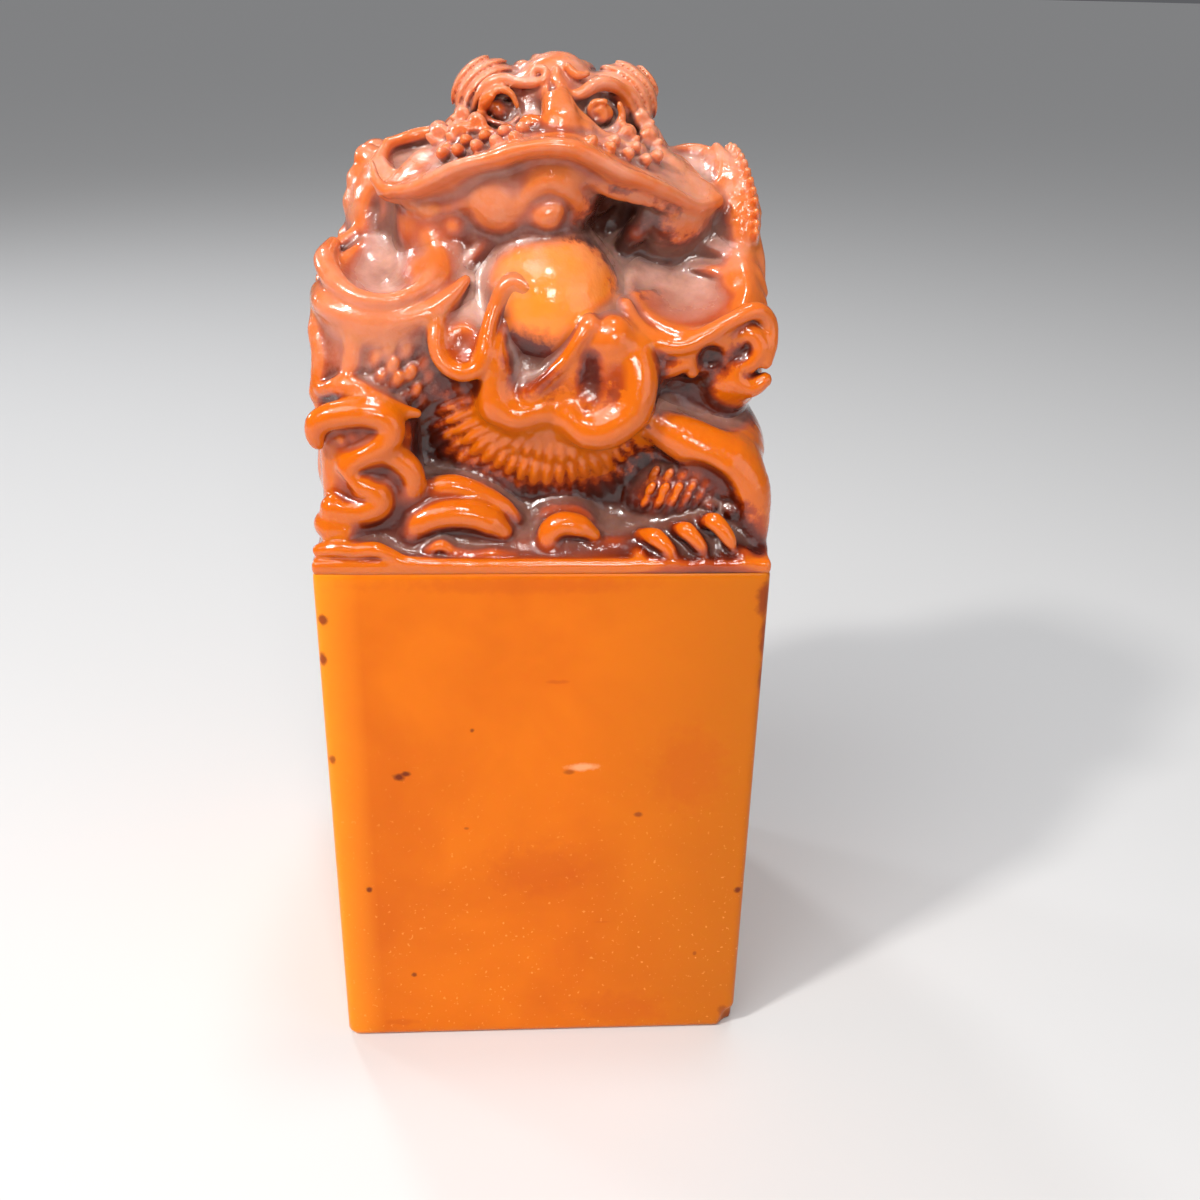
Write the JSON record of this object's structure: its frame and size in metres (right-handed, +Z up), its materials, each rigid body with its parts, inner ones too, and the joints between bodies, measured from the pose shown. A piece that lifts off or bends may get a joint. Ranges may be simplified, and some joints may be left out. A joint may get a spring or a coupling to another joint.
{
  "type": "seal stamp",
  "caption": "Square stone seal stamp with a bare seal face and a carved knob: a dragon's head over a ball in its open mouth, among scrolling clouds.",
  "frame": {"origin": "middle of the seal face, which the stamp stands on", "axes": "+Z up along the shaft from the seal face to the knob; -Y is the dragon's front; +X is to the viewer's right"},
  "size_m": [0.036, 0.036, 0.0844],
  "materials": {
    "stone_shaft": "polished waxy amber-orange stone, slightly translucent, with faint cloudy patches and small pits",
    "stone_carving": "polished carved stone, bright orange on the raised forms and dark red-brown in the recesses",
    "stone_pearl": "smooth high polish, deep orange"
  },
  "bodies": {
    "root": {"back_left_cloud": "stone_carving", "back_right_cloud": "stone_carving", "body_coil": "stone_carving", "chest_collar": "stone_carving", "cloud_plinth": "stone_carving", "crown_boss": "stone_carving", "dragon_head": "stone_carving", "front_arch_cloud": "stone_carving", "front_curl_cloud": "stone_carving", "knob_core": "stone_carving", "left_brow": "stone_carving", "left_cloud_cup": "stone_carving", "left_cloud_lumps": "stone_carving", "left_cloud_scroll": "stone_carving", "left_eye": "stone_carving", "left_flank": "stone_carving", "left_mane": "stone_carving", "left_mane_tuft": "stone_carving", "left_side_cloud": "stone_carving", "left_upper_cup": "stone_carving", "mane_locks": "stone_carving", "pearl": "stone_pearl", "pearl_scroll": "stone_carving", "pearl_tendril": "stone_carving", "right_brow": "stone_carving", "right_cloud_cup": "stone_carving", "right_curl_cloud": "stone_carving", "right_eye": "stone_carving", "right_foreleg": "stone_carving", "right_mane": "stone_carving", "right_mane_tuft": "stone_carving", "right_paw": "stone_carving", "right_side_cloud": "stone_carving", "right_upper_cup": "stone_carving", "seal_block": "stone_shaft", "snout": "stone_carving", "tail_loop": "stone_carving", "tongue": "stone_carving", "upper_lip": "stone_carving"}
  },
  "joints": []
}
